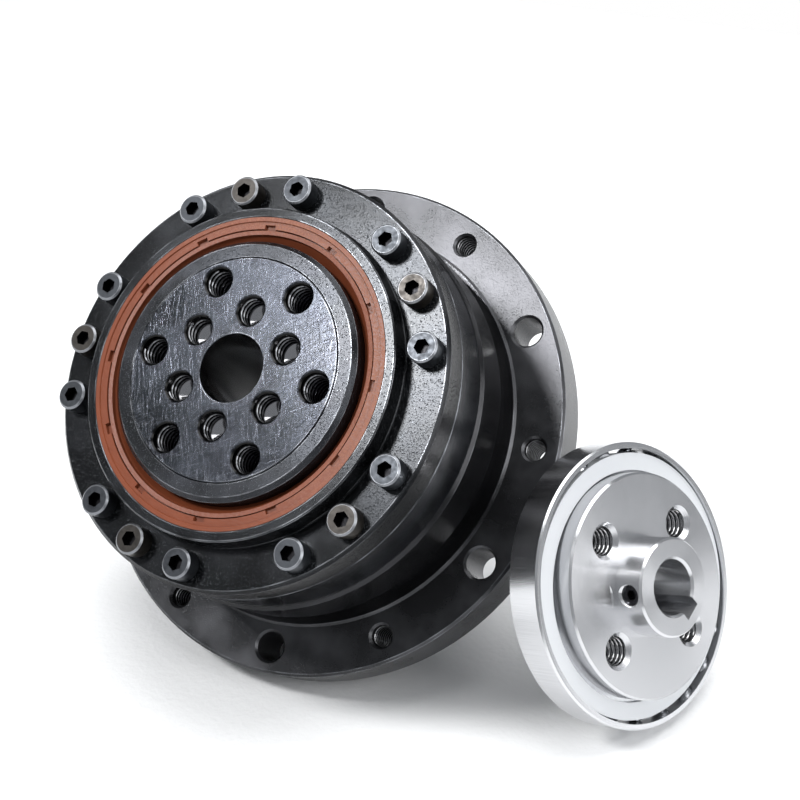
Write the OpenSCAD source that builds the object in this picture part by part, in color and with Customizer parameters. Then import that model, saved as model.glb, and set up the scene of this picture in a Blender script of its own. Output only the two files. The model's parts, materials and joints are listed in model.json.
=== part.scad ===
// Strain wave gear unit with its wave generator taken out.
// The unit stands tipped on the rims of its flange and rear pilot, and the
// generator leans on the flange. All lengths in millimetres, all angles in degrees.
//
// Unit frame: z runs along the output axis, 0 on the rear face of the flange.
// Generator frame: z runs along the hub axis, 0 on the front face of its outer race.

/* [Mounting flange] */
// Thickness of the flange
flange_t = 8; // [7:0.5:10]
// Gap between the barrel's foot and the flange's clearance holes
flange_hole_gap = 1.55; // [1.2:0.05:2]
// Wall outside the flange's clearance holes
flange_rim = 1.75; // [1.2:0.05:3]
// Number of clearance holes, and of tapped holes between them
flange_holes = 6; // [4:1:6]
// Diameter of the clearance holes
flange_clear_d = 4.5; // [4:0.1:5]
// Core diameter of the tapped holes
flange_tap_d = 3.3; // [3:0.1:4]
// Width of the flange's front edge chamfer
flange_front_edge = 0.4; // [0.2:0.1:0.8]
// Width of the flange's rear edge chamfer
flange_rear_edge = 1; // [0.5:0.1:1.5]

/* [Housing barrel] */
// Step from the bearing rings' side out to the barrel's side
barrel_step = 0.4; // [0.2:0.1:0.8]
// Height of the barrel above the flange
barrel_h = 12.6; // [12:0.2:16]
// Gap between the flexspline's teeth and the barrel's bore
barrel_room = 1.21; // [0.9:0.01:1.5]
// Height of the undercut above the flange's foot
undercut_h = 4.2; // [3:0.2:5]
// Depth of the undercut
undercut_depth = 1.1; // [0.6:0.1:1.4]
// Height of the foot step under the barrel
foot_h = 0.4; // [0.2:0.1:0.8]
// Overhang of the foot step past the barrel
foot_over = 0.4; // [0.2:0.1:0.8]

/* [Rear pilot and circular spline] */
// Wall of the circular spline, from its tooth roots to the rear pilot
spline_wall = 5.46; // [5.2:0.02:6.2]
// Length of the rear pilot behind the flange
pilot_len = 13.5; // [12.5:0.5:14.5]
// Depth of the seat that the circular spline enters
spline_seat = 4; // [3:0.5:5]
// Chamfer on the pilot's end
pilot_edge = 0.5; // [0.3:0.1:0.7]
// Step from the pilot in to the seated part
seat_step = 1.2; // [0.6:0.1:1.3]
// Relief between the pilot's shoulder and the flange, and depth of the groove in the flange
pilot_relief = 0.5; // [0.3:0.1:1]
// Width of the relief groove that the flange has around the pilot
groove_w = 0.25; // [0.2:0.05:0.5]

/* [Teeth] */
// Teeth on the flexspline
flex_teeth = 100; // [96:2:100]
// Teeth that the circular spline has more
teeth_more = 2; // [2:2:2]
// Tooth module
tooth_module = 0.432; // [0.42:0.002:0.436]
// Height of a tooth above the pitch line, in modules
tooth_add = 0.44; // [0.38:0.01:0.45]
// Depth of a tooth under the pitch line, in modules
tooth_ded = 0.6; // [0.5:0.05:0.7]
// Length of the teeth
tooth_len = 10; // [8:0.5:10]
// Length that the circular spline's teeth run on past the flexspline's
tooth_runout = 1.5; // [1:0.1:2]

/* [Flexspline cup] */
// Thickness of the rim under the teeth
cup_rim_t = 0.55; // [0.5:0.05:0.65]
// Thickness of the cup's wall
cup_wall = 0.3; // [0.25:0.01:0.3]
// Relief in the cup's bore beyond the toothed rim
cup_relief = 0.24; // [0.22:0.01:0.24]
// Thickness of the diaphragm
diaphragm_t = 0.5; // [0.4:0.1:0.8]
// Wall of the clamped boss outside the screw heads
boss_rim = 0.95; // [0.8:0.05:1.5]
// Thickness of the clamped boss
boss_t = 2.5; // [2:0.1:3]
// Distance from the pilot's end to the cup's mouth
cup_setback = 0.8; // [0.5:0.1:1.5]

/* [Output bearing] */
// Wall of the two outer rings outside the case screws' heads
ring_rim = 0.9; // [0.7:0.05:1.5]
// Thickness of the rear bearing ring
rear_ring_h = 7.4; // [7:0.2:9]
// Thickness of the front bearing ring
front_ring_h = 4.7; // [4.5:0.1:6]
// Chamfer on the front ring's outer edge
ring_edge = 0.5; // [0.3:0.1:0.6]
// Break on the edges where two rings meet
joint_edge = 0.15; // [0.1:0.05:0.2]
// Diameter of a bearing roller
roller_d = 3; // [2.8:0.1:3.1]
// Step from the inner ring's neck out to the rollers' pitch circle
roller_step = 4.3; // [4.2:0.05:4.5]
// Number of rollers
roller_count = 40; // [30:1:40]
// Gap between a roller and its raceway
roller_play = 0.02; // [0.01:0.01:0.03]
// Gap between the bearing's inner and outer rings
ring_gap = 0.6; // [0.4:0.1:0.8]

/* [Seal and its housing] */
// Height of the seal housing above the front ring's face
lip_h = 3.3; // [3.1:0.1:4]
// Wall of the seal housing at its front edge
lip_wall = 1.46; // [1.2:0.02:1.8]
// Radial width of the seal
seal_w = 3.43; // [3.2:0.01:3.5]
// Depth of the seal's pocket
seal_depth = 3.5; // [3.2:0.1:3.8]
// Number of notches in the seal's face
seal_notches = 12; // [6:1:18]
// Gap between the seal's body and the shaft
seal_gap = 0.45; // [0.3:0.05:0.6]
// Running gap under the seal's lip
lip_play = 0.03; // [0.02:0.01:0.05]
// Wire diameter of the seal's garter spring
garter_d = 0.7; // [0.5:0.1:0.8]

/* [Output flange] */
// Wall of the output flange outside its outer tapped holes
output_rim = 0.7; // [0.5:0.05:1]
// Wall of the inner ring's neck, which the seal runs on
neck_wall = 2.7; // [2.4:0.1:3]
// Overhang of the output flange's collar past its rim
collar_w = 1.65; // [1.4:0.05:2]
// Thickness of the output flange's collar
collar_t = 2.3; // [2:0.1:2.6]
// Height of the output face above the seal housing
output_proud = 1; // [0.6:0.1:2]
// Step from the output face down to the inner ring's face
face_step = 0.12; // [0.05:0.01:0.3]
// Diameter of the central bore
bore_d = 10; // [8:0.5:10]
// Number of inner and of outer tapped holes
output_holes = 6; // [4:1:6]
// Wall between the central bore and the inner tapped holes
inner_wall = 1.4; // [1:0.1:2]
// Core diameter of the inner tapped holes
inner_tap_d = 4.2; // [3.3:0.1:4.2]
// Depth of the inner tapped holes
inner_tap_depth = 3.5; // [3:0.5:5]
// Step from the inner bolt circle out to the outer one
outer_step = 5; // [4.8:0.1:5.4]
// Core diameter of the outer tapped holes
outer_tap_d = 4.2; // [3.3:0.1:4.2]
// Depth of the outer tapped holes
outer_tap_depth = 9; // [7:0.5:10]
// Turn of the output flange against the mounting flange, at rest
output_turn = 24.3; // [0:0.1:60]

/* [Case screws] */
// Thread diameter of the case screws
case_screw_d = 2.5; // [2:0.1:2.6]
// Head diameter of the case screws
case_head_d = 4.5; // [4:0.1:4.6]
// Head height of the case screws
case_head_h = 2.5; // [2:0.1:3]
// Gap between the seal housing and the case screws' heads
case_gap = 1.16; // [0.9:0.02:1.6]
// Number of groups of three case screws
case_groups = 5; // [3:1:6]
// Angle from one case screw to the next within a group
case_pitch = 18; // [12:1:20]
// Turn of the first group against the mounting flange's tapped holes
case_turn = 31.1; // [0:0.1:72]
// Length of the case screws in the housing
case_grip = 5.5; // [4:0.5:6]

/* [Inner screws] */
// Thread diameter of the screws that hold the circular spline
spline_screw_d = 2; // [1.6:0.1:2]
// Head diameter of the screws that hold the circular spline
spline_head_d = 3.8; // [3.5:0.1:3.8]
// Length of those screws in the housing
spline_grip = 5; // [4:0.5:6]
// Diameter of the dowels beside those screws
dowel_d = 2; // [1.5:0.1:2]
// Length of those dowels
dowel_len = 9.4; // [8:0.2:9.4]
// Number of screws that hold the circular spline
spline_screws_n = 8; // [4:1:8]
// Thread diameter of the screws that hold the flexspline
flex_screw_d = 2.5; // [2:0.1:2.6]
// Head diameter of the screws that hold the flexspline
flex_head_d = 4.5; // [4:0.1:4.5]
// Wall between the central bore and the flexspline's screw heads
flex_wall = 0.55; // [0.5:0.05:0.8]
// Length of the flexspline's screws in the output flange
flex_grip = 4.5; // [4:0.1:5]
// Number of screws that hold the flexspline
flex_screws_n = 6; // [4:1:6]
// Thickness of the clamp ring behind the flexspline's boss
clamp_t = 3; // [2:0.5:4]

/* [Wave generator bearing] */
// Width of the outer race
race_w = 5.5; // [5:0.1:6]
// Wall of the outer race
race_wall = 0.9; // [0.8:0.05:1]
// Diameter of a ball
ball_d = 3; // [2.9:0.05:3.05]
// Number of balls
ball_count = 23; // [15:1:23]
// Gap between a ball and its raceways
ball_play = 0.02; // [0.01:0.01:0.03]
// Wall of the inner race
inner_race_wall = 1.25; // [1.1:0.05:1.4]
// Gap between the outer race and the flexspline's bore, before it is flexed
race_fit = 0.05; // [0.03:0.01:0.08]
// Step from the outer race's face down to the cage's face
cage_step = 0.55; // [0.4:0.05:0.6]
// Thickness of the cage's front rim, which covers the balls and the inner race
cage_rim_t = 0.5; // [0.4:0.05:0.5]

/* [Wave generator plug] */
// Height of the plug's face above the outer race's face
plug_proud = 2.1; // [1.5:0.1:3]
// Height of the hub above the plug's face
hub_h = 4.7; // [4:0.1:6]
// Wall of the hub around the shaft bore
hub_wall = 3.1; // [2.8:0.1:3.4]
// Bore for the motor shaft
shaft_d = 8; // [6:0.5:8]
// Width of the keyway
key_w = 3; // [2:0.1:3]
// Depth of the keyway past the bore
key_depth = 1.4; // [1:0.1:1.4]
// Angle of the keyway
key_turn = 38.8; // [35:0.1:40]
// Number of tapped holes in the plug's face
plug_holes = 4; // [2:2:4]
// Gap between the hub and the plug's tapped holes
plug_hole_gap = 1.9; // [1.7:0.1:2.1]
// Core diameter of the plug's tapped holes
plug_tap_d = 4.2; // [3.3:0.1:4.2]
// Chamfer at the mouths of the plug's tapped holes
plug_tap_edge = 0.6; // [0.3:0.1:0.7]
// Diameter of the set screw
set_screw_d = 3; // [2.5:0.1:3]
// Turn of the holes and the keyway against the long axis of the oval
feature_turn = -28.5; // [-45:0.5:45]

/* [How the pieces stand] */
// Roll of the unit about its own axis
unit_roll = 7.9; // [0:0.1:60]
// Tilt of the leaning generator's hub axis above the table
gen_tilt = 24.4; // [20:0.1:28]
// Heading of the generator's hub axis, seen from above
gen_heading = -16.2; // [-24:0.1:-10]
// Distance of the generator's axis along the flange's rim, from the unit's axis
gen_along = 11.2; // [8:0.1:16]
// Turn of the oval's long axis away from its lowest point
gen_turn = 16.5; // [0:0.5:40]
// Gap between the generator and the flange that it leans on
gen_gap = 0.05; // [0.03:0.01:0.2]

/* [Hidden] */
$fn = 96;

// Small clearance between pieces that are fixed together
seat_gap = 0.02;
// Overlap that carries a cut cleanly through a face
cut = 1;
// Included cone angle of a twist drill's tip, halved
drill_half = 59;
// Chamfer at the mouth of a drilled hole
mouth = 0.35;
// Chamfer at the front of the output's bore
bore_edge = 0.1;
// Depth that a blind screw hole runs on past its screw
drill_over = 0.5;
// Turn of the flexspline's screws against the inner tapped holes
flex_turn = 30;
// Clearance around a screw's shank in a plain hole, and around a sunk head
shank_room = 0.3;
// Gap at each end of a dowel
dowel_gap = 0.3;
// Depth of a hexagon socket as a share of the head's height
socket_share = 0.55;
// Across-flats size of a hexagon socket as a share of the thread
socket_flats = 0.8;
// Chamfer on the outer race's two outer edges
race_edge = 0.25;

black = [0.09, 0.09, 0.10];
dark_steel = [0.25, 0.26, 0.29];
bright_steel = [0.78, 0.79, 0.81];
nylon_white = [0.93, 0.93, 0.92];
seal_brown = [0.55, 0.24, 0.15];

// Heights along the unit's axis
flange_front = flange_t;
barrel_top = flange_front + barrel_h;
split_z = barrel_top + rear_ring_h;
ring_front = split_z + front_ring_h;
lip_front = ring_front + lip_h;
output_face = lip_front + output_proud;
pilot_end = -pilot_len;
seal_seat = lip_front - seal_depth;

// Radii of the teeth
flex_pitch_r = tooth_module * flex_teeth / 2;
ring_teeth = flex_teeth + teeth_more;
ring_pitch_r = tooth_module * ring_teeth / 2;
wave_lift = ring_pitch_r - flex_pitch_r;
flex_tip_r = flex_pitch_r + tooth_add * tooth_module;
flex_root_r = flex_pitch_r - tooth_ded * tooth_module;
ring_tip_r = ring_pitch_r - tooth_add * tooth_module;
ring_root_r = ring_pitch_r + tooth_ded * tooth_module;
cup_bore_r = flex_root_r - cup_rim_t;
cup_mouth = pilot_end + cup_setback;

// Circular spline: rear pilot, its seat in the housing, and the pitch radius of its screws
pilot_r = ring_root_r + spline_wall;
seat_r = pilot_r - seat_step;
spline_pitch_r = (ring_root_r + pilot_r - pilot_edge) / 2;
barrel_bore_r = flex_tip_r + barrel_room;

// Output flange, from its bore outwards
bore_r = bore_d / 2;
inner_pitch_r = bore_r + inner_wall + inner_tap_d / 2;
outer_pitch_r = inner_pitch_r + outer_step;
output_r = outer_pitch_r + outer_tap_d / 2 + output_rim;
neck_r = output_r + neck_wall;
flex_pitch_circle_r = bore_r + flex_wall + flex_head_d / 2;
boss_r = flex_pitch_circle_r + flex_head_d / 2 + boss_rim;

// Seal and its housing
seal_in_r = neck_r + seal_gap;
seal_out_r = seal_in_r + seal_w;
lip_r = seal_out_r + lip_wall;

// Outer rings, barrel and mounting flange
case_pitch_r = lip_r + case_gap + case_head_d / 2;
ring_r = case_pitch_r + case_head_d / 2 + ring_rim;
barrel_r = ring_r + barrel_step;
flange_pitch_r = barrel_r + foot_over + flange_hole_gap + flange_clear_d / 2;
flange_r = flange_pitch_r + flange_clear_d / 2 + flange_rim;

// Bearing
roller_pitch_r = neck_r + roller_step;
vee_half = roller_d / sqrt(2);
inner_ring_r = roller_pitch_r - ring_gap / 2;
outer_ring_r = roller_pitch_r + ring_gap / 2;
inner_ring_top = split_z + vee_half + 1.2;
inner_ring_foot = split_z - vee_half - 3.7;

// Output stack, from the inner ring's foot forwards
collar_r = output_r + collar_w;
collar_top = inner_ring_foot + collar_t;
boss_front = inner_ring_foot - 0.8;
boss_back = boss_front - boss_t;
clamp_back = boss_back - clamp_t;

// Generator, as round rings before they are flexed to an oval
race_r = cup_bore_r - race_fit;
race_bore_r = race_r - race_wall;
ball_pitch_r = race_bore_r - ball_d / 2 + 0.2;
inner_race_r = ball_pitch_r - ball_d / 2 + 0.5;
plug_r = inner_race_r - inner_race_wall;
hub_r = shaft_d / 2 + hub_wall;
plug_pitch_r = hub_r + plug_hole_gap + plug_tap_d / 2;
// Centres of the four arcs of the oval, off its axis
arc_off = 2 * wave_lift / (2 - sqrt(2));

// How the unit stands: the flange's rim and the pilot's rim both touch the table
unit_tilt = atan2(flange_r - pilot_r, pilot_len - pilot_edge + flange_rear_edge);
table_z = flange_rear_edge * sin(unit_tilt) - flange_r * cos(unit_tilt);

// How the generator stands: its rear rim touches the table, its rear face the flange
gen_dir = [cos(gen_tilt) * cos(gen_heading), cos(gen_tilt) * sin(gen_heading), sin(gen_tilt)];
gen_side = [-sin(gen_heading), cos(gen_heading), 0];
gen_low_r = race_r + wave_lift - arc_off * (1 - cos(gen_turn));
gen_back_z = table_z + gen_low_r * cos(gen_tilt) - race_edge * sin(gen_tilt);
// The generator's rear centre lies at gen_side * gen_along + level * reach, at gen_back_z
level = [cos(gen_heading), sin(gen_heading), 0];
gen_start = gen_side * gen_along + [0, 0, gen_back_z];

// A point of the flange's front rim, in the row's frame
function rim_point(a, r, z) = let (x = r * cos(a), y = r * sin(a))
    [x, y * sin(unit_tilt) - z * cos(unit_tilt), y * cos(unit_tilt) + z * sin(unit_tilt)];
// Reach at which the generator's rear plane passes through a point
function reach_to(p) = ((p - gen_start) * gen_dir) / (level * gen_dir);
// Distance of a point from the generator's axis, when its rear plane passes through the point
function off_axis(p) = let (c = gen_start + level * reach_to(p)) norm(p - c);
// Rim points that the generator's rear face can touch
rim_list = [for (a = [-90:1:90], e = [0, 1])
    rim_point(a, flange_r - e * flange_front_edge, flange_front - (1 - e) * flange_front_edge)];
reach = max([for (p = rim_list) if (off_axis(p) < race_r + wave_lift) reach_to(p)]);
gen_back = gen_start + level * (reach + gen_gap / cos(gen_tilt));

// Puts the unit's frame on the table
module stand_unit() {
    rotate([90 - unit_tilt, 0, 0]) rotate([0, 0, unit_roll]) children();
}

// Puts the generator's frame where it leans
module lean_generator() {
    translate(gen_back + gen_dir * race_w)
        rotate([0, 90 - gen_tilt, gen_heading]) rotate([0, 0, gen_turn]) children();
}

// Copies of a child round the axis
module around(n, r, turn = 0) {
    for (k = [0:n - 1]) rotate([0, 0, turn + k * 360 / n]) translate([r, 0, 0]) children();
}

// A tube from z0 to z1
module tube(r_out, r_in, z0, z1) {
    rotate_extrude() translate([r_in, z0]) square([r_out - r_in, z1 - z0]);
}

// A blind drilled hole going down from z = 0, with a cone tip and a chamfered mouth
module drilled(d, depth) {
    r = d / 2;
    rotate_extrude() polygon([[0, cut], [r + mouth + cut, cut], [r, -mouth], [r, -depth],
                              [0, -depth - r / tan(drill_half)]]);
}

// A through hole between z0 and z1 with both mouths chamfered
module through(d, z0, z1, edge = mouth) {
    r = d / 2;
    rotate_extrude() polygon([[0, z0 - cut], [r + edge + cut, z0 - cut], [r, z0 + edge],
                              [r, z1 - edge], [r + edge + cut, z1 + cut], [0, z1 + cut]]);
}

// A socket head screw: the head sits on z = 0, the thread goes down
module cap_screw(d, head_d, head_h, grip) {
    edge = head_h * 0.1;
    difference() {
        union() {
            rotate_extrude() polygon([[0, 0], [head_d / 2, 0], [head_d / 2, head_h - edge],
                                      [head_d / 2 - edge, head_h], [0, head_h]]);
            rotate_extrude() polygon([[0, cut], [d / 2 - seat_gap, cut], [d / 2 - seat_gap, -grip + edge],
                                      [d / 2 - seat_gap - edge, -grip], [0, -grip]]);
        }
        translate([0, 0, head_h * (1 - socket_share)])
            cylinder(h = head_h, d = d * socket_flats / cos(30), $fn = 6);
    }
}

// Places of the case screws
module at_case_screws() {
    for (g = [0:case_groups - 1], k = [-1:1])
        rotate([0, 0, case_turn + g * 360 / case_groups + k * case_pitch])
            translate([case_pitch_r, 0, 0]) children();
}

// Places of the screws through the circular spline
module at_spline_screws() {
    around(spline_screws_n, spline_pitch_r, 180 / spline_screws_n) children();
}

// Places of the two dowels beside those screws
module at_spline_dowels() {
    around(2, spline_pitch_r) children();
}

// Places of the screws through the flexspline's boss
module at_flex_screws() {
    around(flex_screws_n, flex_pitch_circle_r, output_turn + flex_turn) children();
}

// A ring of teeth in plan. Each tooth has a tip land, two flank kinks and a root land
module tooth_plan(n, root_r, pitch_r, tip_r, share) {
    step = 360 / n;
    tip_half = step * share * 0.16;
    pitch_half = step * share * 0.27;
    root_half = step * share * 0.38;
    polygon([for (k = [0:n - 1], s = [[-root_half, root_r], [-pitch_half, pitch_r], [-tip_half, tip_r],
                                      [tip_half, tip_r], [pitch_half, pitch_r], [root_half, root_r]])
        let (a = k * step + s[0]) s[1] * [cos(a), sin(a)]]);
}

// Mounting flange, barrel and bearing seat, turned from one piece
module housing() {
    color(black) stand_unit() difference() {
        rotate_extrude() polygon([
            [barrel_bore_r, 0],
            [flange_r - flange_rear_edge, 0],
            [flange_r, flange_rear_edge],
            [flange_r, flange_front - flange_front_edge],
            [flange_r - flange_front_edge, flange_front],
            [barrel_r + foot_over + foot_h, flange_front],
            [barrel_r + foot_over, flange_front + foot_h],
            [barrel_r - undercut_depth, flange_front + foot_h],
            [barrel_r - undercut_depth, flange_front + foot_h + undercut_h - undercut_depth],
            [barrel_r - ring_edge, flange_front + foot_h + undercut_h],
            [barrel_r, flange_front + foot_h + undercut_h + ring_edge],
            [barrel_r, barrel_top - ring_edge],
            [barrel_r - ring_edge, barrel_top],
            [barrel_bore_r, barrel_top]]);
        translate([0, 0, -cut]) cylinder(h = spline_seat + cut, r = seat_r + seat_gap);
        translate([0, 0, -cut]) cylinder(h = pilot_relief + cut, r = pilot_r + groove_w);
        around(flange_holes, flange_pitch_r, 180 / flange_holes) through(flange_clear_d, 0, flange_front);
        around(flange_holes, flange_pitch_r) through(flange_tap_d, 0, flange_front);
        at_case_screws() translate([0, 0, barrel_top]) drilled(case_screw_d, case_grip + drill_over);
        at_spline_screws() translate([0, 0, spline_seat])
            rotate([180, 0, 0]) drilled(spline_screw_d, spline_grip + drill_over);
        at_spline_dowels() translate([0, 0, spline_seat - cut])
            cylinder(h = dowel_len / 2 + dowel_gap + cut, d = dowel_d);
    }
}

// Toothed ring that also forms the rear pilot
module circular_spline() {
    color(dark_steel) stand_unit() difference() {
        rotate_extrude() polygon([
            [ring_tip_r - 0.2, pilot_end],
            [pilot_r - pilot_edge, pilot_end],
            [pilot_r, pilot_end + pilot_edge],
            [pilot_r, -pilot_relief],
            [seat_r, -pilot_relief],
            [seat_r, spline_seat],
            [ring_root_r + 0.5, spline_seat],
            [ring_root_r + 0.5, pilot_end + tooth_len + tooth_runout],
            [ring_tip_r - 0.2, pilot_end + tooth_len + tooth_runout]]);
        translate([0, 0, pilot_end - cut]) linear_extrude(height = tooth_len + tooth_runout + 2 * cut)
            tooth_plan(ring_teeth, ring_tip_r, ring_pitch_r, ring_root_r, 1);
        at_spline_screws() translate([0, 0, pilot_end]) {
            translate([0, 0, -cut])
                cylinder(h = spline_screw_d + shank_room + cut, d = spline_head_d + shank_room);
            cylinder(h = pilot_len + spline_seat + cut, d = spline_screw_d + shank_room);
        }
        at_spline_dowels() translate([0, 0, spline_seat - dowel_len / 2 - dowel_gap])
            cylinder(h = dowel_len / 2 + dowel_gap + cut, d = dowel_d);
    }
}

// Screws from the rear, heads sunk in the circular spline
module spline_screws() {
    color(dark_steel) stand_unit() at_spline_screws()
        translate([0, 0, pilot_end + spline_screw_d + shank_room]) rotate([180, 0, 0])
            cap_screw(spline_screw_d, spline_head_d, spline_screw_d,
                      pilot_len + spline_seat - spline_screw_d - shank_room + spline_grip);
}

// Dowels that clock the circular spline in the housing
module spline_dowels() {
    color(bright_steel) stand_unit() at_spline_dowels()
        translate([0, 0, spline_seat - dowel_len / 2])
            cylinder(h = dowel_len, d = dowel_d - 2 * seat_gap);
}

// Rear half of the split outer bearing ring, with the rear flank of the vee
module rear_bearing_ring() {
    vee_low = split_z - vee_half + ring_gap / 2;
    color(black) stand_unit() difference() {
        rotate_extrude() polygon([
            [outer_ring_r, barrel_top],
            [ring_r - joint_edge, barrel_top],
            [ring_r, barrel_top + joint_edge],
            [ring_r, split_z - joint_edge],
            [ring_r - joint_edge, split_z],
            [roller_pitch_r + vee_half, split_z],
            [outer_ring_r, vee_low]]);
        at_case_screws() translate([0, 0, barrel_top - cut])
            cylinder(h = rear_ring_h + 2 * cut, d = case_screw_d + shank_room);
    }
}

// Front half of the split outer bearing ring, with the seal housing standing on it
module front_bearing_ring() {
    vee_high = split_z + vee_half - ring_gap / 2;
    shoulder_r = neck_r + 2.5;
    fillet = 0.4;
    color(black) stand_unit() difference() {
        rotate_extrude() difference() {
            polygon([
                [outer_ring_r, vee_high],
                [roller_pitch_r + vee_half, split_z],
                [ring_r - joint_edge, split_z],
                [ring_r, split_z + joint_edge],
                [ring_r, ring_front - ring_edge],
                [ring_r - ring_edge, ring_front],
                [lip_r + fillet, ring_front],
                [lip_r + fillet, ring_front + fillet],
                [lip_r, lip_front - 0.2],
                [lip_r - 0.2, lip_front],
                [seal_out_r + 0.1, lip_front],
                [seal_out_r, lip_front - 0.1],
                [seal_out_r, seal_seat],
                [shoulder_r, seal_seat],
                [shoulder_r, inner_ring_top + 0.4],
                [outer_ring_r, inner_ring_top + 0.4]]);
            translate([lip_r + fillet, ring_front + fillet]) circle(r = fillet, $fn = 32);
        }
        at_case_screws() translate([0, 0, split_z - cut])
            cylinder(h = front_ring_h + 2 * cut, d = case_screw_d + shank_room);
    }
}

// Screws in groups of three that clamp both bearing rings to the housing
module case_screws() {
    color(dark_steel) stand_unit() at_case_screws() translate([0, 0, ring_front])
        cap_screw(case_screw_d, case_head_d, case_head_h, front_ring_h + rear_ring_h + case_grip);
}

// Rubber shaft seal pressed in the seal housing, with a notched outer face
module oil_seal() {
    out_r = seal_out_r - seat_gap;
    face = lip_front - 0.05;
    notch_r = seal_in_r + seal_w * 0.48;
    band_r = out_r - 0.62;
    lip_z = seal_seat + 1.3;
    color(seal_brown) stand_unit() difference() {
        rotate_extrude() polygon([
            [neck_r + lip_play, lip_z - 0.12],
            [seal_in_r + 0.7, seal_seat + 0.1],
            [out_r, seal_seat],
            [out_r, face],
            [band_r, face],
            [band_r - 0.1, face - 0.2],
            [notch_r, face - 0.2],
            [notch_r, face - 0.8],
            [notch_r - 0.2, face - 0.8],
            [notch_r - 0.2, face - 0.3],
            [notch_r - 0.8, face - 0.35],
            [notch_r - 0.9, face - 0.9],
            [neck_r + lip_play, lip_z + 0.12]]);
        around(seal_notches, notch_r + 0.2) translate([-0.4, -0.85, face - 0.75])
            cube([0.8, 1.7, 2]);
        rotate_extrude() translate([seal_in_r + 0.95, seal_seat + 1.25])
            circle(d = garter_d + 2 * seat_gap, $fn = 32);
    }
}

// Garter spring inside the seal, as its closed ring
module seal_garter_spring() {
    color(bright_steel) stand_unit() rotate_extrude() translate([seal_in_r + 0.95, seal_seat + 1.25])
        circle(d = garter_d, $fn = 32);
}

// Inner bearing ring: both flanks of the vee, and the neck that the seal runs on
module bearing_inner_ring() {
    vee = vee_half - ring_gap / 2;
    face = output_face - face_step;
    neck_edge = 0.65;
    bore_r = output_r + seat_gap;
    color(black) stand_unit() rotate_extrude() polygon([
        [collar_r, inner_ring_foot],
        [inner_ring_r, inner_ring_foot],
        [inner_ring_r, split_z - vee],
        [roller_pitch_r - vee_half, split_z],
        [inner_ring_r, split_z + vee],
        [inner_ring_r, inner_ring_top],
        [neck_r, inner_ring_top],
        [neck_r, face - neck_edge],
        [neck_r - neck_edge, face],
        [bore_r + 0.15, face],
        [bore_r, face - 0.15],
        [bore_r, collar_top],
        [collar_r, collar_top]]);
}

// Output flange: the drilled face, a collar behind the inner ring, and a rear boss
module output_flange() {
    color(black) stand_unit() rotate([0, 0, output_turn]) difference() {
        rotate_extrude() polygon([
            [bore_r, boss_front],
            [boss_r + 0.2, boss_front],
            [boss_r + 0.2, inner_ring_foot],
            [collar_r - seat_gap, inner_ring_foot],
            [collar_r - seat_gap, collar_top - seat_gap],
            [output_r, collar_top - seat_gap],
            [output_r, output_face - 0.12],
            [output_r - 0.12, output_face],
            [bore_r + bore_edge, output_face],
            [bore_r, output_face - bore_edge]]);
        around(output_holes, inner_pitch_r) translate([0, 0, output_face]) drilled(inner_tap_d, inner_tap_depth);
        around(output_holes, outer_pitch_r, 180 / output_holes) translate([0, 0, output_face]) drilled(outer_tap_d, outer_tap_depth);
        around(flex_screws_n, flex_pitch_circle_r, flex_turn) translate([0, 0, boss_front])
            rotate([180, 0, 0]) drilled(flex_screw_d, flex_grip + drill_over);
    }
}

// Thin-walled cup: toothed rim at its mouth, diaphragm and clamped boss at its bottom
module flexspline() {
    wall_in_r = cup_bore_r + cup_relief;
    wall_r = wall_in_r + cup_wall;
    rim_end = cup_mouth + tooth_len;
    bend = 2;
    cap = boss_front - 0.1;
    color(dark_steel) stand_unit() difference() {
        union() {
            rotate_extrude() difference() {
                union() {
                    polygon([
                        [bore_r, boss_back],
                        [boss_r, boss_back],
                        [boss_r, cap - diaphragm_t],
                        [wall_r - bend, cap - diaphragm_t],
                        [wall_r - bend, cap],
                        [boss_r, cap],
                        [boss_r, boss_front],
                        [bore_r, boss_front]]);
                    translate([wall_r - bend, cap - bend]) circle(r = bend);
                    translate([wall_in_r, rim_end - 0.5]) square([cup_wall, cap - bend - rim_end + 0.5]);
                }
                translate([wall_r - bend, cap - bend]) circle(r = bend - cup_wall);
                translate([0, cup_mouth - cut]) square([wall_in_r, cap - bend - cup_mouth + cut]);
                translate([boss_r + 0.01, cap - bend - cut])
                    square([wall_r - bend - boss_r, bend + cut - diaphragm_t]);
            }
            boss();
            translate([0, 0, cup_mouth]) linear_extrude(height = tooth_len) difference() {
                tooth_plan(flex_teeth, flex_root_r, flex_pitch_r, flex_tip_r, 1);
                circle(r = cup_bore_r);
            }
        }
        at_flex_screws() translate([0, 0, boss_back - cut])
            cylinder(h = boss_t + 2 * cut, d = flex_screw_d + shank_room);
    }
}

// The flexspline's clamped boss
module boss() {
    tube(boss_r, bore_r, boss_back, boss_front);
}

// Ring that spreads the screws' pressure on the flexspline's boss
module flexspline_clamp() {
    color(dark_steel) stand_unit() difference() {
        tube(boss_r - 0.4, bore_r, clamp_back, boss_back);
        at_flex_screws() translate([0, 0, clamp_back - cut])
            cylinder(h = clamp_t + 2 * cut, d = flex_screw_d + shank_room);
    }
}

// Screws from inside the cup into the output flange
module flexspline_screws() {
    color(dark_steel) stand_unit() at_flex_screws() translate([0, 0, clamp_back])
        rotate([180, 0, 0])
            cap_screw(flex_screw_d, flex_head_d, flex_screw_d, clamp_t + boss_t + flex_grip);
}

// Rollers crossed by turns in the square raceway
module bearing_rollers() {
    tilt = 45;
    len = roller_d - 5 * roller_play;
    color(bright_steel) stand_unit() for (k = [0:roller_count - 1])
        rotate([0, 0, k * 360 / roller_count]) translate([roller_pitch_r, 0, split_z])
            rotate([0, k % 2 == 0 ? tilt : -tilt, 0])
                cylinder(h = len, d = roller_d - 2 * roller_play, center = true, $fn = 32);
}

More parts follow.
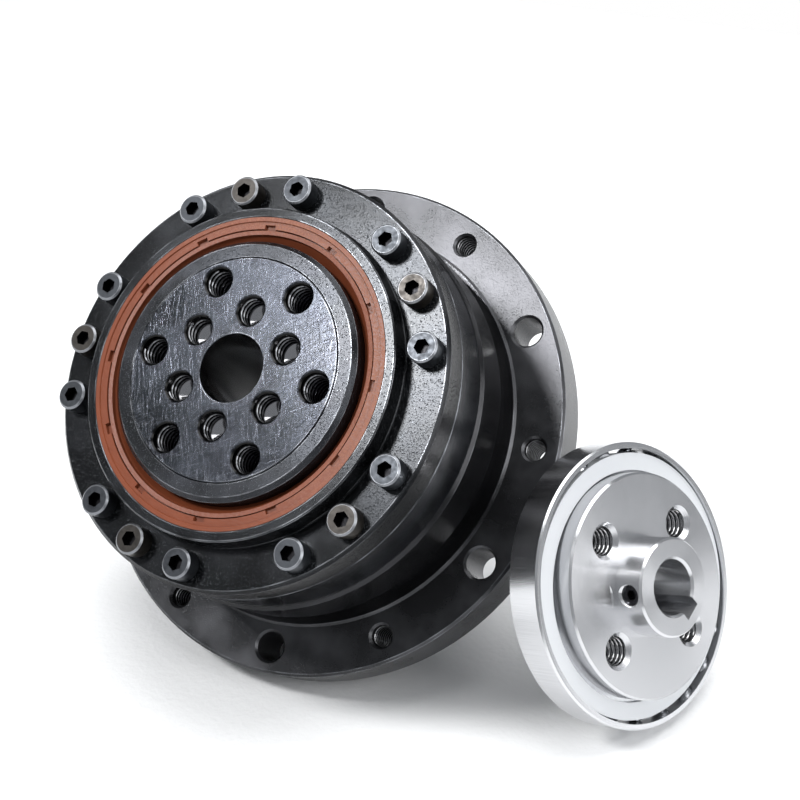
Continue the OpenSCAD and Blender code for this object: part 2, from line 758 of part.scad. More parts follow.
// Discs that keep neighbouring rollers apart
module roller_spacers() {
    room = 2 * roller_pitch_r * sin(180 / roller_count) - roller_d;
    color(nylon_white) stand_unit() around(roller_count, roller_pitch_r, 180 / roller_count)
        translate([0, 0, split_z]) rotate([90, 0, 0])
            cylinder(h = room * 0.8, d = roller_d * 0.8, center = true, $fn = 32);
}

// Flexes a ring's section to the oval: four arcs about centres off the axis.
// The section is drawn for a round ring, x being its radius
module oval() {
    for (q = [0:3]) {
        long_side = q % 2 == 0;
        off = long_side ? arc_off : -arc_off;
        lift = long_side ? wave_lift - arc_off : arc_off - wave_lift;
        rotate([0, 0, q * 90]) translate([off, 0, 0]) rotate([0, 0, -45])
            rotate_extrude(angle = 90) translate([lift, 0]) children();
    }
}

// A solid oval disc: two broad wedges across the short axis, two narrow ones along the long axis
module oval_disc(r, z0, z1, edge) {
    for (q = [0:3]) {
        long_side = q % 2 == 0;
        off = long_side ? arc_off : -arc_off;
        arc_r = r + (long_side ? wave_lift - arc_off : arc_off - wave_lift);
        rotate([0, 0, q * 90]) translate([off, 0, 0]) rotate([0, 0, -45])
            rotate_extrude(angle = 90) polygon([
                [0, z0], [arc_r - edge, z0], [arc_r, z0 + edge],
                [arc_r, z1 - edge], [arc_r - edge, z1], [0, z1]]);
    }
}

// Thin outer race of the wave generator's bearing, flexed to the oval
module wave_outer_race() {
    groove = ball_d / 2 + ball_play;
    color(bright_steel) lean_generator() oval() difference() {
        polygon([
            [race_bore_r, -race_w],
            [race_r - race_edge, -race_w],
            [race_r, -race_w + race_edge],
            [race_r, -race_edge],
            [race_r - race_edge, 0],
            [race_bore_r, 0]]);
        translate([ball_pitch_r, -race_w / 2]) circle(r = groove, $fn = 48);
    }
}

// Thin inner race, pressed on the plug and set back behind the cage's rim
module wave_inner_race() {
    groove = ball_d / 2 + ball_play;
    front = -cage_step - cage_rim_t - 0.1;
    color(bright_steel) lean_generator() oval() difference() {
        translate([plug_r + seat_gap, -race_w + 0.1])
            square([inner_race_wall - seat_gap, race_w - 0.1 + front]);
        translate([ball_pitch_r, -race_w / 2]) circle(r = groove, $fn = 48);
    }
}

// Balls on the oval raceway, evenly spaced by the cage
module wave_balls() {
    color(bright_steel) lean_generator() for (k = [0:ball_count - 1]) let (
        a = k * 360 / ball_count,
        q = round(a / 90),
        local = a - q * 90,
        long_side = q % 2 == 0,
        off = long_side ? arc_off : -arc_off,
        arc_r = ball_pitch_r + (long_side ? wave_lift - arc_off : arc_off - wave_lift),
        r = off * cos(local) + sqrt(arc_r * arc_r - pow(off * sin(local), 2)))
        rotate([0, 0, a]) translate([r, 0, -race_w / 2]) sphere(d = ball_d, $fn = 32);
}

// Nylon cage: a broad front rim with prongs between the balls, open to the rear
module wave_cage() {
    rim_in = plug_r + wave_lift + 0.1;
    cage_in = inner_race_r + wave_lift + 0.05;
    cage_out = race_bore_r - wave_lift - 0.05;
    pocket = ball_d / 2 + 0.12;
    color(nylon_white) lean_generator() difference() {
        rotate_extrude() polygon([
            [cage_in, -race_w + 0.8], [cage_out, -race_w + 0.8], [cage_out, -cage_step],
            [rim_in, -cage_step], [rim_in, -cage_step - cage_rim_t], [cage_in, -cage_step - cage_rim_t]]);
        around(ball_count, 0) {
            translate([cage_in - cut, 0, -race_w / 2]) rotate([0, 90, 0])
                cylinder(h = cage_out - cage_in + 2 * cut, r = pocket, $fn = 32);
            translate([cage_in - cut, -pocket * 0.85, -race_w - cut])
                cube([cage_out - cage_in + 2 * cut, pocket * 1.7, race_w / 2 + cut]);
        }
    }
}

// Oval plug with its hub, shaft bore, keyway and tapped holes
module generator_plug() {
    back = -race_w + 0.3;
    face = plug_proud;
    edge = 0.3;
    hub_top = plug_proud + hub_h;
    screw_z = plug_proud + hub_h / 2;
    color(bright_steel) lean_generator() difference() {
        union() {
            oval_disc(plug_r, back, face, edge);
            rotate_extrude() polygon([
                [0, face - cut], [hub_r, face - cut], [hub_r, hub_top - edge],
                [hub_r - edge, hub_top], [0, hub_top]]);
        }
        through(shaft_d, back, hub_top);
        rotate([0, 0, feature_turn]) {
            rotate([0, 0, key_turn]) translate([0, -key_w / 2, back - cut])
                cube([shaft_d / 2 + key_depth, key_w, hub_top - back + 2 * cut]);
            around(plug_holes, plug_pitch_r, 45) through(plug_tap_d, back, face, plug_tap_edge);
            rotate([0, 0, 270]) translate([hub_r, 0, screw_z]) rotate([0, 90, 0])
                through(set_screw_d, -hub_r + shaft_d / 4, 0);
        }
    }
}

// Headless screw that grips the motor shaft
module hub_set_screw() {
    length = hub_r - shaft_d / 2 - 0.9;
    screw_z = plug_proud + hub_h / 2;
    color(dark_steel) lean_generator() rotate([0, 0, feature_turn + 270])
        translate([hub_r - 0.7, 0, screw_z]) rotate([0, 90, 0]) difference() {
            translate([0, 0, -length]) cylinder(h = length, d = set_screw_d - 2 * seat_gap, $fn = 48);
            translate([0, 0, -length / 2]) cylinder(h = length, d = set_screw_d * 0.55, $fn = 6);
        }
}

housing();
circular_spline();
spline_screws();
spline_dowels();
rear_bearing_ring();
front_bearing_ring();
case_screws();
oil_seal();
seal_garter_spring();
bearing_inner_ring();
output_flange();
flexspline();
flexspline_clamp();
flexspline_screws();
bearing_rollers();
roller_spacers();
wave_outer_race();
generator_plug();
hub_set_screw();
wave_inner_race();
wave_cage();
wave_balls();
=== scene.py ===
import collections
import json
import math

import bmesh
import bpy
from mathutils import Matrix, Vector


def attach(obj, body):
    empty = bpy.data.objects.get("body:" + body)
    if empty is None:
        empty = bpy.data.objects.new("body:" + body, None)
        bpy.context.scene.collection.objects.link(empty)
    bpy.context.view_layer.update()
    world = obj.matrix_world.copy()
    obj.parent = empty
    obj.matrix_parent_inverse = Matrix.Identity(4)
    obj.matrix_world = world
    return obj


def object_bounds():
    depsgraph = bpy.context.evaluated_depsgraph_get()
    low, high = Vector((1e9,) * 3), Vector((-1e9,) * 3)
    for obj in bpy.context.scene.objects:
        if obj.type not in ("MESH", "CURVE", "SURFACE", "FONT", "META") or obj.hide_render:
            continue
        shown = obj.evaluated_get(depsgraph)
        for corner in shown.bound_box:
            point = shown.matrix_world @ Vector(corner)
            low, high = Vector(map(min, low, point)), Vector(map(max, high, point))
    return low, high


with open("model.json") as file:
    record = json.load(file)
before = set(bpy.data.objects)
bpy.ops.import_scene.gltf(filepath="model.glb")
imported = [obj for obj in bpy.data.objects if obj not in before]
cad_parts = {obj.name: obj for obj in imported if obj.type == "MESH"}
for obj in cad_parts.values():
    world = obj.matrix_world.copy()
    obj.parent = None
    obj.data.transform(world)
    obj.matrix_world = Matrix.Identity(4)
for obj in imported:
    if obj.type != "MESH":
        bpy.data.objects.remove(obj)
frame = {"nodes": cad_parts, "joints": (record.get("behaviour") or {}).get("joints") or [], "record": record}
cad_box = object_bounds()
nodes = frame["nodes"]
joints = {j["name"]: j for j in frame["joints"]}


# Camera. It looks down on the output side from the front right, through a long lens
camera_data = bpy.data.cameras.new("camera")
camera_data.sensor_width = 36
camera_data.lens = 63.66
camera_data.clip_start = 0.01
camera_data.clip_end = 5
camera = bpy.data.objects.new("camera", camera_data)
bpy.context.scene.collection.objects.link(camera)
camera.location = (0.1095, -0.16859, 0.10988)
camera.rotation_euler = [math.radians(angle) for angle in (62.717, -0.338, 30.567)]
bpy.context.scene.camera = camera
bpy.context.scene.view_settings.view_transform = "Standard"


# Table: a white felt cloth. The flange's rim, the rear pilot and the generator's rim
# stand on it, and it catches their shadow
table_half = 0.45
table_gap = 0.00002


def wire(owner, from_node, output, to_node, socket):
    owner.node_tree.links.new(from_node.outputs[output], to_node.inputs[socket])


def plain_material(name, color, roughness):
    material = bpy.data.materials.new(name)
    material.use_nodes = True
    shader = material.node_tree.nodes["Principled BSDF"]
    shader.inputs["Base Color"].default_value = (*color, 1)
    shader.inputs["Roughness"].default_value = roughness
    return material


felt = plain_material("table_felt", (0.83, 0.835, 0.84), 0.95)
weave = felt.node_tree.nodes.new("ShaderNodeTexNoise")
weave.inputs["Scale"].default_value = 900
weave.inputs["Detail"].default_value = 6
spot = felt.node_tree.nodes.new("ShaderNodeTexCoord")
nap = felt.node_tree.nodes.new("ShaderNodeBump")
nap.inputs["Distance"].default_value = 0.0004
nap.inputs["Strength"].default_value = 0.35
wire(felt, spot, "Object", weave, "Vector")
wire(felt, weave, "Fac", nap, "Height")
wire(felt, nap, "Normal", felt.node_tree.nodes["Principled BSDF"], "Normal")
bm = bmesh.new()
bmesh.ops.create_grid(bm, x_segments=1, y_segments=1, size=table_half)
bmesh.ops.translate(bm, verts=bm.verts, vec=(0, 0, cad_box[0].z - table_gap))
mesh = bpy.data.meshes.new("table")
bm.to_mesh(mesh)
bm.free()
mesh.materials.append(felt)
table = bpy.data.objects.new("table", mesh)
bpy.context.scene.collection.objects.link(table)


# Room light: a soft surround that the camera sees as pure white, a large lamp overhead, one on
# the right, and a small one in front whose glare falls on the flange and the front ring
world = bpy.data.worlds.new("room")
bpy.context.scene.world = world
world.use_nodes = True
surround = world.node_tree.nodes["Background"]
surround.inputs["Color"].default_value = (0.93, 0.96, 1, 1)
surround.inputs["Strength"].default_value = 0.4
backdrop = world.node_tree.nodes.new("ShaderNodeBackground")
backdrop.inputs["Color"].default_value = (1, 1, 1, 1)
seen = world.node_tree.nodes.new("ShaderNodeLightPath")
either = world.node_tree.nodes.new("ShaderNodeMixShader")
wire(world, seen, "Is Camera Ray", either, "Fac")
wire(world, surround, "Background", either, 1)
wire(world, backdrop, "Background", either, 2)
wire(world, either, "Shader", world.node_tree.nodes["World Output"], "Surface")


def add_lamp(name, place, size, power):
    """A square lamp that points at the flange's centre"""
    lamp_data = bpy.data.lights.new(name, "AREA")
    lamp_data.shape = "RECTANGLE"
    lamp_data.size = size
    lamp_data.size_y = size
    lamp_data.energy = power
    lamp = bpy.data.objects.new(name, lamp_data)
    bpy.context.scene.collection.objects.link(lamp)
    lamp.location = place
    lamp.rotation_euler = (-Vector(place)).to_track_quat("-Z", "Y").to_euler()


add_lamp("lamp_overhead", (0.05, 0.1, 0.75), 0.7, 7.2)
add_lamp("lamp_right", (0.7, -0.1, 0.35), 0.5, 3.5)
add_lamp("lamp_front", (-0.28, -0.389, 0.511), 0.12, 3.3)


# Housing: mounting flange, undercut and barrel, turned from one steel blank and black oxided.
# It is the base that everything else is screwed into, so its axis is the whole unit's
unit_axis = Vector(joints["output_turn"]["axis"]).normalized()
unit_place = Matrix.Rotation(-math.acos(unit_axis.z), 4, "X")
unit_roll = 7.9  # degrees about that axis, to the first of the flange's holes
no_limit = 1.0


class Finish:
    """Builds a material's nodes in the frame of a turned part, with its axis as z"""

    def __init__(self, name, place):
        self.material = bpy.data.materials.new(name)
        self.material.use_nodes = True
        self.tree = self.material.node_tree
        self.shader = self.tree.nodes["Principled BSDF"]
        self.object_point = self.tree.nodes.new("ShaderNodeTexCoord").outputs["Object"]
        mapping = self.tree.nodes.new("ShaderNodeMapping")
        mapping.inputs["Location"].default_value = place.to_translation()
        mapping.inputs["Rotation"].default_value = place.to_euler("XYZ")
        self.tree.links.new(self.object_point, mapping.inputs["Vector"])
        self.point = mapping.outputs["Vector"]
        split = self.tree.nodes.new("ShaderNodeSeparateXYZ")
        self.tree.links.new(self.point, split.inputs["Vector"])
        self.x = split.outputs["X"]
        self.y = split.outputs["Y"]
        self.z = split.outputs["Z"]
        self.r = self.length(self.x, self.y)
        self.a = self.math("ARCTAN2", self.y, self.x)

    def put(self, socket, value):
        if isinstance(value, bpy.types.NodeSocket):
            self.tree.links.new(value, socket)
        else:
            socket.default_value = value

    def give(self, **inputs):
        """Sets the shader's inputs, with _ for a space in a name"""
        for name, value in inputs.items():
            self.put(self.shader.inputs[name.replace("_", " ")], value)
        return self.material

    def math(self, operation, a, b=0.0):
        node = self.tree.nodes.new("ShaderNodeMath")
        node.operation = operation
        self.put(node.inputs[0], a)
        self.put(node.inputs[1], b)
        return node.outputs[0]

    def plus(self, a, b):
        return self.math("ADD", a, b)

    def minus(self, a, b):
        return self.math("SUBTRACT", a, b)

    def times(self, product, *factors):
        for factor in factors:
            product = self.math("MULTIPLY", product, factor)
        return product

    def length(self, a, b):
        return self.math("SQRT", self.plus(self.times(a, a), self.times(b, b)))

    def ramp(self, value, low, high, to_low=0.0, to_high=1.0):
        node = self.tree.nodes.new("ShaderNodeMapRange")
        node.interpolation_type = "SMOOTHSTEP"
        self.put(node.inputs["Value"], value)
        node.inputs["From Min"].default_value = low
        node.inputs["From Max"].default_value = high
        node.inputs["To Min"].default_value = to_low
        node.inputs["To Max"].default_value = to_high
        return node.outputs["Result"]

    def fall(self, value, low, high):
        return self.ramp(value, low, high, 1.0, 0.0)

    def vector(self, x, y, z):
        node = self.tree.nodes.new("ShaderNodeCombineXYZ")
        self.put(node.inputs["X"], x)
        self.put(node.inputs["Y"], y)
        self.put(node.inputs["Z"], z)
        return node.outputs["Vector"]

    def noise(self, scale, detail=2.0, vector=None, roughness=0.5):
        node = self.tree.nodes.new("ShaderNodeTexNoise")
        node.inputs["Scale"].default_value = scale
        node.inputs["Detail"].default_value = detail
        node.inputs["Roughness"].default_value = roughness
        self.put(node.inputs["Vector"], self.point if vector is None else vector)
        return node.outputs["Fac"]

    def bands(self, first, first_scale, second, second_scale):
        """Noise on two coordinates, drawn out into bands by a scale for each"""
        return self.noise(1.0, 3, self.vector(self.times(first, first_scale),
                                              self.times(second, second_scale), 0.0))

    def wrap(self, count, turn):
        """Angle from the nearest of some even directions, the first at turn degrees"""
        step = 2 * math.pi / count
        a = self.minus(self.a, math.radians(turn))
        return self.minus(a, self.times(self.math("ROUND", self.math("DIVIDE", a, step)), step))

    def fold(self, count, radius, turn):
        """Distance from the axis of the nearest of a circle of holes or screws"""
        a = self.wrap(count, turn)
        return self.length(self.minus(self.times(self.r, self.math("COSINE", a)), radius),
                           self.times(self.r, self.math("SINE", a)))

    def near(self, edges, width):
        """1 close to any of the edges, each a circle (radius, height), falling to 0"""
        closest = None
        for radius, height in edges:
            away = self.length(self.minus(self.r, radius), self.minus(self.z, height))
            closest = away if closest is None else self.math("MINIMUM", closest, away)
        return self.fall(closest, width * 0.3, width)

    def mix(self, share, first, second):
        node = self.tree.nodes.new("ShaderNodeMix")
        node.data_type = "RGBA"
        self.put(node.inputs["Factor"], share)
        for name, color in (("A", first), ("B", second)):
            self.put(node.inputs[name], (*color, 1) if isinstance(color, tuple) else color)
        return node.outputs["Result"]

    def bump(self, height, depth, strength):
        node = self.tree.nodes.new("ShaderNodeBump")
        node.inputs["Strength"].default_value = strength
        node.inputs["Distance"].default_value = depth
        self.put(node.inputs["Height"], height)
        return node.outputs["Normal"]


def oxide_layers(f, worn, speckle, roughness, tint, grain=0.25):
    """Colour, height and roughness of cloudy black oxide with grit in it, the grit's specks painted lighter
    as glints, and bright worn edges
    """
    cloud = f.noise(120, 3)
    grit = f.noise(4600, 3)
    chips = f.times(f.near(worn, 0.00013), f.ramp(f.noise(260, 6), 0.34, 0.72))
    grit_and_painted_glints = f.ramp(grit, 0.57, 0.66)
    dark, light = [tuple(c * t for c, t in zip(color, tint))
                   for color in ((0.009, 0.010, 0.012), (0.022, 0.024, 0.029))]
    color = f.mix(f.ramp(cloud, 0.35, 0.7), dark, light)
    color = f.mix(f.times(chips, 0.6), color, (0.24, 0.25, 0.27))
    # Grit specks painted lighter: partly pale grit, partly painted glints
    color = f.mix(f.times(grit_and_painted_glints, min(1.0, 0.25 * speckle)), color, (0.10, 0.108, 0.12))
    height = f.plus(f.times(grit_and_painted_glints, speckle), f.times(grit, grain))
    rough = f.plus(f.ramp(cloud, 0.3, 0.7, roughness - 0.03, roughness + 0.03),
                   f.times(grit_and_painted_glints, -0.08 * speckle))
    return color, height, rough


def oxide_steel(f, color, height, rough):
    return f.give(Base_Color=color, Metallic=0.75, Roughness=rough,
                  Normal=f.bump(height, 0.00005, 0.6))


def black_oxide(name, worn, speckle, roughness, tint=(1, 1, 1), smooth=None,
                within_r=no_limit, below_z=no_limit):
    """With smooth, the roughness where it is ground: inside a radius and below a height"""
    f = Finish(name, unit_place)
    color, height, rough = oxide_layers(f, worn, speckle, roughness, tint)
    if smooth is not None:
        ground = f.times(f.fall(f.r, within_r - 0.0001, within_r),
                         f.fall(f.z, below_z - 0.0001, below_z))
        rough = f.plus(rough, f.times(ground, smooth - roughness))
        color = f.mix(f.times(ground, 0.7), color, (0.004, 0.004, 0.005))
    return oxide_steel(f, color, height, rough)


def finish_node(name, material):
    part = nodes[name]
    part.data.materials.clear()
    part.data.materials.append(material)


flange_r = 0.0395
flange_front = 0.008
flange_edge = 0.0004
barrel_r = 0.0313
barrel_back = 0.0131
barrel_front = 0.0206
barrel_edge = 0.0005
housing_edges = [(flange_r, 0.001), (flange_r - flange_edge, flange_front),
                 (flange_r, flange_front - flange_edge),
                 (barrel_r + flange_edge, flange_front + flange_edge),
                 (barrel_r - barrel_edge, barrel_back - barrel_edge),
                 (barrel_r, barrel_back), (barrel_r, barrel_front - barrel_edge)]
finish_node("housing", black_oxide("housing_black", housing_edges, 0.15, 0.29, (2.7, 2.5, 2.25),
                                   smooth=0.17, within_r=barrel_r + 0.0005))


# Threads in the flange's six tapped holes, cut in the housing's steel. Each is a ridge that
# winds down the wall of its hole
mounts = {m["name"]: m for m in frame["record"]["mounts"]}
Circle = collections.namedtuple("Circle", "holes r hole_r turn")


def tapped_circle(mount, turn):
    """A circle of holes in the record, with its first hole at turn degrees"""
    dims = mounts[mount]["dims"]
    return Circle(dims["count"], dims["pcd_mm"] / 2000, dims["hole_r_mm"] / 1000, turn)


def thread(name, body, place, circle, k, mouth, length, pitch, material):
    """A ridge down hole k of a circle, from the hole's mouth at a height on the place's axis"""
    steps = 20
    turns = int(length / pitch)
    root_r = circle.hole_r + 0.00003
    crest_r = circle.hole_r - 0.24 * pitch
    bm = bmesh.new()
    profile = [(root_r, 0.34), (crest_r, 0.05), (crest_r, -0.05), (root_r, -0.34)]
    corners = [bm.verts.new((r, 0, (h - 1.1) * pitch)) for r, h in profile]
    loop = [bm.edges.new((corners[i], corners[(i + 1) % 4])) for i in range(4)]
    bm.faces.new(corners)
    wound = bmesh.ops.spin(bm, geom=corners + loop, cent=(0, 0, 0), axis=(0, 0, 1),
                           dvec=(0, 0, -pitch / steps), angle=2 * math.pi * turns,
                           steps=steps * turns, use_merge=False)
    last = [v for v in wound["geom_last"] if isinstance(v, bmesh.types.BMVert)]
    bmesh.ops.contextual_create(bm, geom=last)
    bmesh.ops.recalc_face_normals(bm, faces=bm.faces)
    angle = math.radians(circle.turn + 360 * k / circle.holes)
    in_hole = Matrix.Rotation(angle, 4, "Z") @ Matrix.Translation((circle.r, 0, mouth))
    bmesh.ops.transform(bm, matrix=place.inverted() @ in_hole, verts=bm.verts)
    mesh = bpy.data.meshes.new(name)
    bm.to_mesh(mesh)
    bm.free()
    mesh.materials.append(material)
    ridge = bpy.data.objects.new(name, mesh)
    bpy.context.scene.collection.objects.link(ridge)
    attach(ridge, body)


def thread_steel(name, place, color, roughness, *circles):
    """Steel colour at a thread's crest and painted shade at its root, in one circle of holes or more"""
    f = Finish(name, place)
    wall = None
    for circle in circles:
        beyond = f.minus(f.fold(circle.holes, circle.r, circle.turn), circle.hole_r)
        wall = beyond if wall is None else f.math("MINIMUM", wall, beyond)
    crest = f.fall(wall, -0.00019, -0.00006)
    # Painted shade: the thread's root, between the crests, is near black
    return f.give(Base_Color=f.mix(crest, (0.004, 0.004, 0.004), color), Metallic=1.0,
                  Roughness=roughness)


flange_taps = tapped_circle("flange_tapped_holes", unit_roll)
flange_thread_len = 0.0072
flange_pitch = 0.0007
flange_thread = thread_steel("flange_thread_steel", unit_place, (0.42, 0.425, 0.44), 0.3,
                             flange_taps)
for k in range(flange_taps.holes):
    thread("flange_thread_%d" % k, "housing", unit_place, flange_taps, k,
           flange_front, flange_thread_len, flange_pitch, flange_thread)


# Circular spline with its screws and dowels: an alloy steel ring, hobbed inside, that also
# locates the unit. It is clamped in the back of the housing
pilot_r = 0.02775
pilot_len = 0.0135
pilot_edge = 0.0005
spline_edges = [(pilot_r - pilot_edge, -pilot_len), (pilot_r, pilot_edge - pilot_len)]
finish_node("circular_spline", black_oxide("spline_grey", spline_edges, 0.3, 0.35))
finish_node("spline_screws", black_oxide("spline_screw_black", spline_edges, 0.3, 0.4))


def bright_steel(name, place, color=(0.62, 0.63, 0.65), roughness=0.22):
    """Bare steel with fine turned rings"""
    f = Finish(name, place)
    rings = f.bands(f.r, 4000, f.z, 4000)
    grain = f.noise(3000, 3)
    rough = f.plus(f.ramp(rings, 0.3, 0.7, roughness - 0.03, roughness + 0.03),
                   f.ramp(grain, 0.3, 0.7, -0.03, 0.03))
    return f.give(Base_Color=f.mix(rings, tuple(c * 0.85 for c in color), color), Metallic=1.0,
                  Roughness=rough, Normal=f.bump(rings, 0.000002, 0.4))


finish_node("spline_dowels", bright_steel("dowel_steel", unit_place))


# Outer bearing rings: hardened, ground on the outside and black oxided. The joint between
# them, and the one to the barrel, are rubbed bright. The front one carries the seal housing
ring_r = 0.0309
ring_split = 0.028
ring_front = 0.0327
joint_edge = 0.00015
ring_edge = 0.0005
ring_edges = [(ring_r - joint_edge, barrel_front), (ring_r, barrel_front + joint_edge),
              (ring_r, ring_split - joint_edge), (ring_r - joint_edge, ring_split),
              (ring_r, ring_split + joint_edge), (ring_r, ring_front - ring_edge),
              (ring_r - ring_edge, ring_front)]
lip_r = 0.02434
lip_in_r = 0.02298
lip_front = 0.036
lip_edge = 0.0002
lip_edges = [(lip_r, lip_front - lip_edge), (lip_r - lip_edge, lip_front), (lip_in_r, lip_front)]
finish_node("rear_bearing_ring", black_oxide("rear_ring_black", ring_edges, 0.1, 0.15))
finish_node("front_bearing_ring",
            black_oxide("front_ring_black", ring_edges + lip_edges, 0.9, 0.21,
                        (0.65, 0.65, 0.62), smooth=0.17, below_z=ring_front - 0.0002))


# Case screws: fifteen M2.5 socket head screws, black oxided, in five groups of three. The middle
# one of each group is from another batch, browner than its neighbours
case_groups = 5
case_step = 18  # degrees between neighbours in a group
case_turn = unit_roll + 31.1
case_circle_r = 0.02775
head_r = 0.00225
head_top = ring_front + 0.0025
head_edge = 0.00023
socket_r = 0.0015


def screw_steel():
    f = Finish("case_screw_steel", unit_place)
    from_middle = f.math("ABSOLUTE", f.wrap(case_groups, case_turn))
    half_step = case_step / 2
    middle = f.fall(from_middle, math.radians(half_step - 0.5), math.radians(half_step + 0.5))
    blue = f.mix(f.noise(900, 4), (0.032, 0.036, 0.042), (0.075, 0.082, 0.092))
    brown = f.mix(f.noise(900, 4), (0.030, 0.027, 0.024), (0.075, 0.068, 0.06))
    away = f.fold(360 / case_step, case_circle_r, case_turn)
    painted_top_shade = f.ramp(f.z, head_top - head_edge, head_top - 0.00005)
    painted_rim_highlight = f.times(f.ramp(f.z, head_top - 0.0003, head_top - head_edge),
                  f.ramp(away, head_r - 0.00035, head_r - head_edge))
    socket = f.times(f.fall(f.z, head_top - 0.0002, head_top - 0.00005),
                     f.fall(away, socket_r - 0.0001, socket_r))
    color = f.mix(middle, blue, brown)
    # Painted shade: the flat tops of the heads are darkened
    color = f.mix(f.times(painted_top_shade, 0.55), color, (0.008, 0.008, 0.009))
    # Painted highlight: a pale ring round the chamfer at the edge of each head
    color = f.mix(f.times(painted_rim_highlight, 0.6), color, (0.27, 0.28, 0.30))
    # Painted shade: the hexagon sockets are painted near black
    color = f.mix(socket, color, (0.006, 0.006, 0.007))
    return f.give(Base_Color=color, Metallic=0.9,
                  Roughness=f.ramp(f.noise(1500, 3), 0.3, 0.7, 0.28, 0.42),
                  Normal=f.bump(f.noise(2500, 3), 0.00002, 0.35))


finish_node("case_screws", screw_steel())


# Shaft seal: rust-brown moulded rubber, pressed in its housing, with pale dust on the upper
# right of its face. Its garter spring is buried in it
dusty_r = 0.0203


def seal_rubber():
    f = Finish("seal_rubber_brown", unit_place)
    dust = f.times(f.ramp(f.noise(3800, 5, roughness=0.65), 0.44, 0.62),
                   f.ramp(f.r, dusty_r, dusty_r + 0.0006), f.ramp(f.plus(f.x, f.y), -0.012, 0.026))
    rubber = f.mix(f.noise(300, 3), (0.128, 0.033, 0.014), (0.182, 0.049, 0.022))
    return f.give(Base_Color=f.mix(f.times(dust, 0.6), rubber, (0.30, 0.15, 0.10)),
                  Roughness=f.ramp(dust, 0.0, 1.0, 0.3, 0.6), Specular_IOR_Level=0.15,
                  Normal=f.bump(f.noise(1800, 4), 0.00005, 0.4))


finish_node("oil_seal", seal_rubber())
finish_node("seal_garter_spring", bright_steel("garter_steel", unit_place))


# Crossed rollers, with a nylon disc between each pair, and the inner ring that they carry.
# The inner ring's neck, which the seal runs on, is ground and its face is pitted with grit, whose specks are
# painted lighter as glints
neck_r = 0.019
neck_in_r = 0.01645
neck_face = 0.03688
neck_edges = [(neck_r, neck_face - 0.00068), (neck_r - 0.00065, neck_face),
              (neck_in_r, neck_face)]
nylon = plain_material("nylon_white", (0.55, 0.565, 0.585), 0.42)
finish_node("bearing_rollers", bright_steel("roller_steel", unit_place))
finish_node("roller_spacers", nylon)
finish_node("bearing_inner_ring", black_oxide("inner_ring_black", neck_edges, 1.6, 0.24,
                                              (0.9, 0.9, 0.9)))


# Output flange: surface ground and black oxided, with fine scratches one way and another.
# Twelve blind holes are drilled and tapped in it, and the tips of the drill holes are bare
output_face = 0.037
output_r = 0.0163
output_bore_r = mounts["output_bore"]["dims"]["r_mm"] / 1000
output_edge = 0.0001
output_edges = [(output_bore_r + output_edge, output_face), (output_r - output_edge, output_face)]
output_roll = unit_roll + 24.3
inner_taps = tapped_circle("output_inner_holes", output_roll)
outer_taps = tapped_circle("output_outer_holes", output_roll + 30)
inner_drilled = 0.0035
outer_drilled = 0.009
inner_thread_len = 0.0033
outer_thread_len = 0.0085
output_pitch = 0.0008


def output_oxide():
    f = Finish("output_black", unit_place)
    color, height, rough = oxide_layers(f, output_edges, 0.0, 0.2, (0.7, 0.74, 0.8), grain=0.03)
    face = f.ramp(f.z, output_face - 0.0002, output_face - 0.0001)
    # Painted shade: below the face, in the bore and down the sides, the colour is near black
    color = f.mix(face, (0.002, 0.002, 0.002), color)
    mottle = f.ramp(f.noise(4200, 3, roughness=0.7), 0.45, 0.66)
    color = f.mix(f.times(mottle, face, 0.5), color, (0.040, 0.046, 0.062))
    lines = None
    for angle in (34, 57, 118, 104):
        c, s = math.cos(math.radians(angle)), math.sin(math.radians(angle))
        along = f.plus(f.times(f.x, c), f.times(f.y, s))
        across = f.minus(f.times(f.y, c), f.times(f.x, s))
        stroke = f.noise(1.0, 2.0, f.vector(f.times(along, 160), f.times(across, 9000), angle))
        line = f.ramp(stroke, 0.58, 0.70)
        lines = line if lines is None else f.math("MAXIMUM", lines, line)
    scratches = f.times(lines, face, f.fall(f.r, output_r - 0.0004, output_r))
    color = f.mix(f.times(scratches, 0.42), color, (0.16, 0.17, 0.20))
    height = f.minus(height, f.times(scratches, 0.3))
    for taps, drilled in ((inner_taps, inner_drilled), (outer_taps, outer_drilled)):
        away = f.fold(taps.holes, taps.r, taps.turn)
        tip = output_face - drilled
        bare = f.times(f.fall(away, taps.hole_r - 0.0002, taps.hole_r),
                       f.fall(f.z, tip, tip + 0.0001))
        color = f.mix(bare, color, (0.42, 0.42, 0.44))
        rough = f.minus(rough, f.times(bare, 0.1))
    return oxide_steel(f, color, height, rough)


finish_node("output_flange", output_oxide())
output_thread = thread_steel("output_thread_steel", unit_place, (0.24, 0.245, 0.26), 0.28,
                             inner_taps, outer_taps)
for k in range(inner_taps.holes):
    thread("inner_thread_%d" % k, "output", unit_place, inner_taps, k,
           output_face, inner_thread_len, output_pitch, output_thread)
    thread("outer_thread_%d" % k, "output", unit_place, outer_taps, k,
           output_face, outer_thread_len, output_pitch, output_thread)


# Flexspline: a thin-walled cup of spring steel, toothed outside at its mouth, screwed with a
# clamp ring to the back of the output flange
finish_node("flexspline", bright_steel("flexspline_steel", unit_place, (0.42, 0.43, 0.45), 0.3))
finish_node("flexspline_clamp", bright_steel("clamp_steel", unit_place, (0.3, 0.31, 0.33), 0.3))
finish_node("flexspline_screws",
            bright_steel("flex_screw_steel", unit_place, (0.2, 0.21, 0.23), 0.35))


# Wave generator's ball bearing: ground steel races round an oval, with balls in a white nylon
# cage. Fine marks of centreless grinding run across the outer race's outside
generator_turn = joints["generator_turn"]
hub_axis = Vector(generator_turn["axis"]).normalized()
hub_centre = Vector(generator_turn["pos_m"])
across = Vector((-hub_axis.y, hub_axis.x, 0)).normalized()
down = across.cross(hub_axis)
generator_place = Matrix((down, across, hub_axis)).to_4x4() @ Matrix.Translation(-hub_centre)
race_r = 0.0203
race_color = (0.6, 0.61, 0.63)


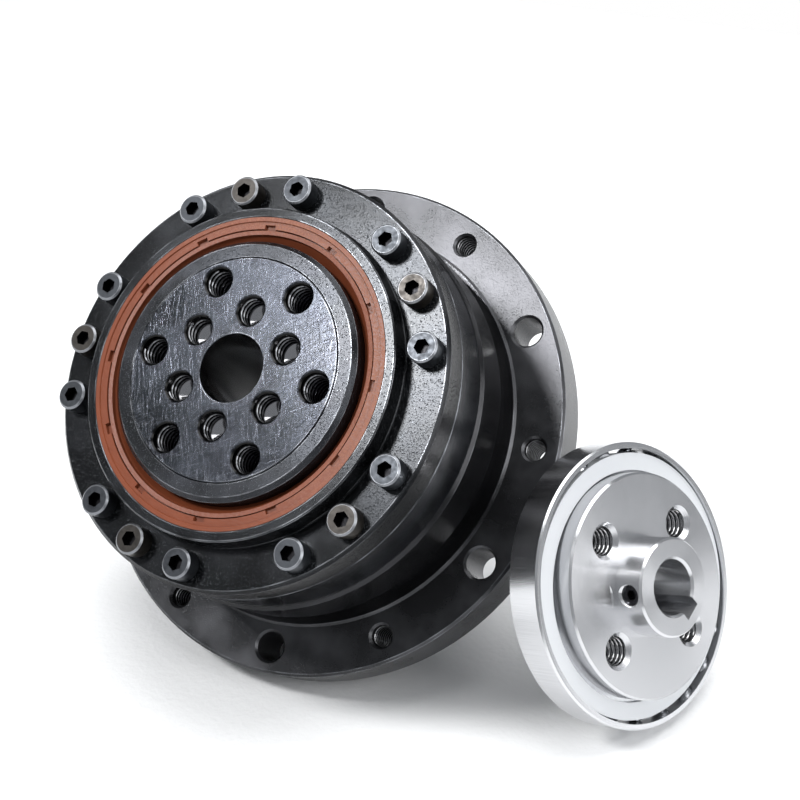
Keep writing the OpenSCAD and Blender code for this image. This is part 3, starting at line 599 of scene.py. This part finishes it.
def outer_race_steel():
    f = Finish("race_steel", generator_place)
    outside = f.ramp(f.r, race_r - 0.0002, race_r)
    marks = f.plus(f.times(f.bands(f.a, 380, f.z, 120), outside),
                   f.times(f.bands(f.r, 5000, f.z, 5000), f.minus(1.0, outside)))
    color = f.mix(f.ramp(marks, 0.3, 0.7), (0.52, 0.525, 0.54), (0.65, 0.655, 0.67))
    return f.give(Base_Color=color, Metallic=1.0, Roughness=f.ramp(marks, 0.3, 0.7, 0.19, 0.27),
                  Normal=f.bump(marks, 0.000005, 0.45))


finish_node("wave_outer_race", outer_race_steel())
finish_node("wave_inner_race", bright_steel("inner_race_steel", generator_place, race_color, 0.2))
finish_node("wave_balls", bright_steel("ball_steel", generator_place, race_color, 0.1))
finish_node("wave_cage", nylon)


# Generator plug: a bright turned disc with a hub, bored and keyed for the motor's shaft. Its
# face is satin, with the fan of glare that turning leaves, and has four tapped holes with
# bright countersinks
plug_face = 0.0021
plug_roll = 33
plug_taps = tapped_circle("generator_tapped_holes", plug_roll)
plug_thread_len = 0.0072
plug_pitch = 0.0008


def plug_steel():
    f = Finish("plug_steel", generator_place)
    grain = f.noise(700, 3)
    outward = f.tree.nodes.new("ShaderNodeVectorMath")
    outward.operation = "SUBTRACT"
    f.tree.links.new(f.object_point, outward.inputs[0])
    outward.inputs[1].default_value = hub_centre
    return f.give(Base_Color=f.mix(grain, (0.54, 0.545, 0.56), (0.58, 0.585, 0.60)),
                  Metallic=1.0, Roughness=f.ramp(grain, 0.3, 0.7, 0.25, 0.265),
                  Anisotropic=0.85, Tangent=outward.outputs["Vector"])


finish_node("generator_plug", plug_steel())
plug_thread = thread_steel("plug_thread_steel", generator_place, (0.5, 0.5, 0.51), 0.25,
                           plug_taps)
for k in range(plug_taps.holes):
    thread("plug_thread_%d" % k, "generator", generator_place, plug_taps, k,
           plug_face, plug_thread_len, plug_pitch, plug_thread)


# Set screw: black oxided steel with a hexagon socket. It is screwed into the plug's hub and
# grips the motor's shaft
finish_node("hub_set_screw",
            bright_steel("set_screw_black", generator_place, (0.05, 0.05, 0.055), 0.3))
